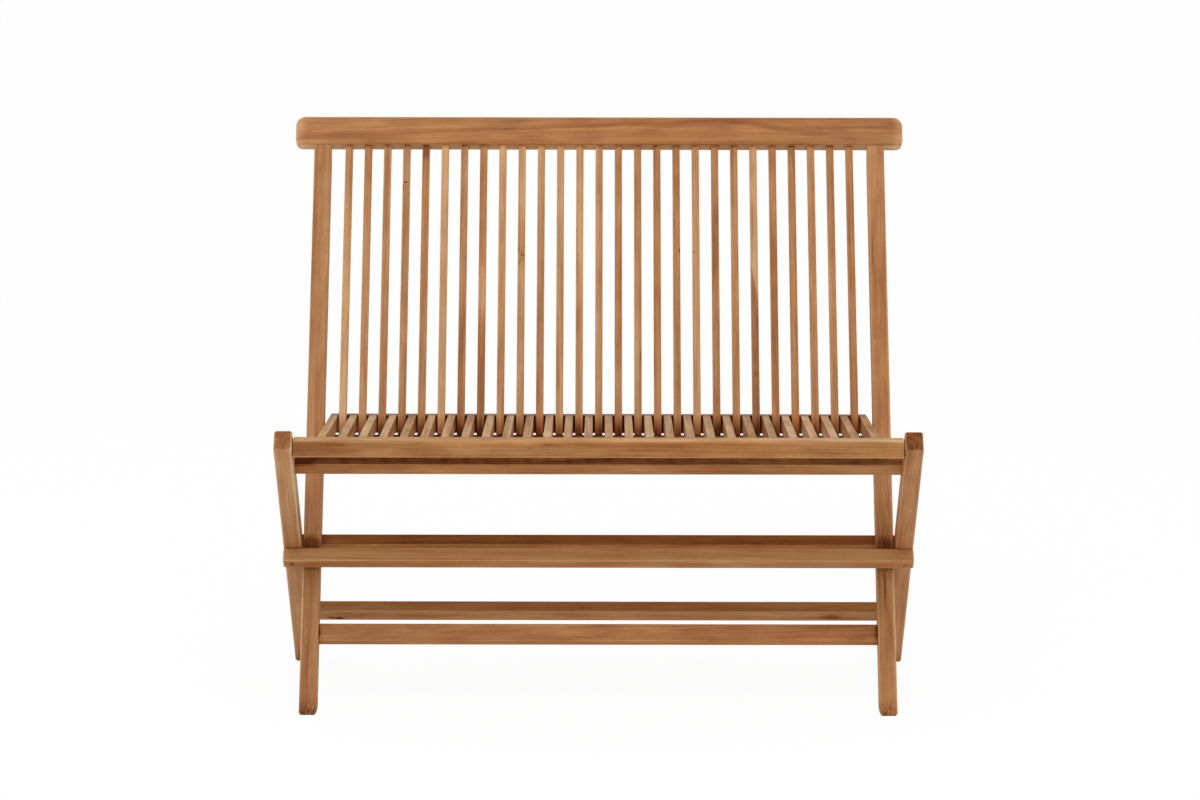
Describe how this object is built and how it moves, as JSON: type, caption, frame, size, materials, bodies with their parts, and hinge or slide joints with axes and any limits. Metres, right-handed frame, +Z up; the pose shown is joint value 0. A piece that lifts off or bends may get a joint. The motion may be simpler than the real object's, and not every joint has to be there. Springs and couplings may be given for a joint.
{
  "type": "folding bench",
  "caption": "Folding slatted teak bench: a reclined slatted back crosses a hinged leg frame, and a slatted seat hung between them folds up flat against the back.",
  "frame": {"origin": "on the floor, under the middle of the bench's overall width and depth", "axes": "+X across the bench to the right as seen from the front, +Y from the front to the back, +Z up"},
  "size_m": [0.9634, 0.6044, 0.8478],
  "materials": {
    "back_frame": "oiled teak, eased edges",
    "back_slats": "oiled teak, each slat of its own tone",
    "legs": "oiled teak, dark end grain",
    "leg_rails": "oiled teak, eased edges",
    "seat_rails": "oiled teak, rounded edges",
    "seat_slats": "oiled teak, paler on top",
    "plug": "teak plug, end grain",
    "brass": "satin brass"
  },
  "bodies": {
    "back_frame": {"back_slat_centre": "back_slats", "back_slats_01": "back_slats", "back_slats_02": "back_slats", "back_slats_03": "back_slats", "back_slats_04": "back_slats", "back_slats_05": "back_slats", "back_slats_06": "back_slats", "back_slats_07": "back_slats", "back_slats_08": "back_slats", "back_slats_09": "back_slats", "back_slats_10": "back_slats", "back_slats_11": "back_slats", "back_slats_12": "back_slats", "back_slats_13": "back_slats", "back_stile_left": "back_frame", "back_stile_right": "back_frame", "front_stretcher": "back_frame", "lower_back_rail": "back_frame", "pivot_bolts": "brass", "pivot_nuts": "brass", "pivot_washers": "brass", "top_rail": "back_frame"},
    "leg_frame": {"front_bar_plugs": "plug", "front_cross_bar": "leg_rails", "rear_bar_plugs": "plug", "rear_cross_bar": "leg_rails", "rear_leg_left": "legs", "rear_leg_right": "legs", "rear_stretcher": "leg_rails", "under_seat_rail": "leg_rails"},
    "seat": {"seat_front_rail": "seat_rails", "seat_pins": "brass", "seat_rear_rail": "seat_rails", "seat_slats_01": "seat_slats", "seat_slats_02": "seat_slats", "seat_slats_03": "seat_slats", "seat_slats_04": "seat_slats", "seat_slats_05": "seat_slats", "seat_slats_06": "seat_slats", "seat_slats_07": "seat_slats", "seat_slats_08": "seat_slats", "seat_slats_09": "seat_slats", "seat_slats_10": "seat_slats", "seat_slats_11": "seat_slats", "seat_slats_12": "seat_slats", "seat_slats_13": "seat_slats", "seat_slats_14": "seat_slats", "seat_washers": "brass"}
  },
  "joints": [
    {"name": "frame_fold", "type": "hinge", "parent": "back_frame", "child": "leg_frame", "pos_m": [0, -0.08016, 0.2215], "axis": [-1, 0, 0], "range_deg": [0, 66]},
    {"name": "seat_fold", "type": "hinge", "parent": "leg_frame", "child": "seat", "pos_m": [0, -0.2809, 0.42154], "axis": [1, 0, 0], "range_deg": [0, 114]}
  ],
  "couplings": [
    {"joint": "seat_fold", "follows": "frame_fold", "ratio": 1.72}
  ]
}
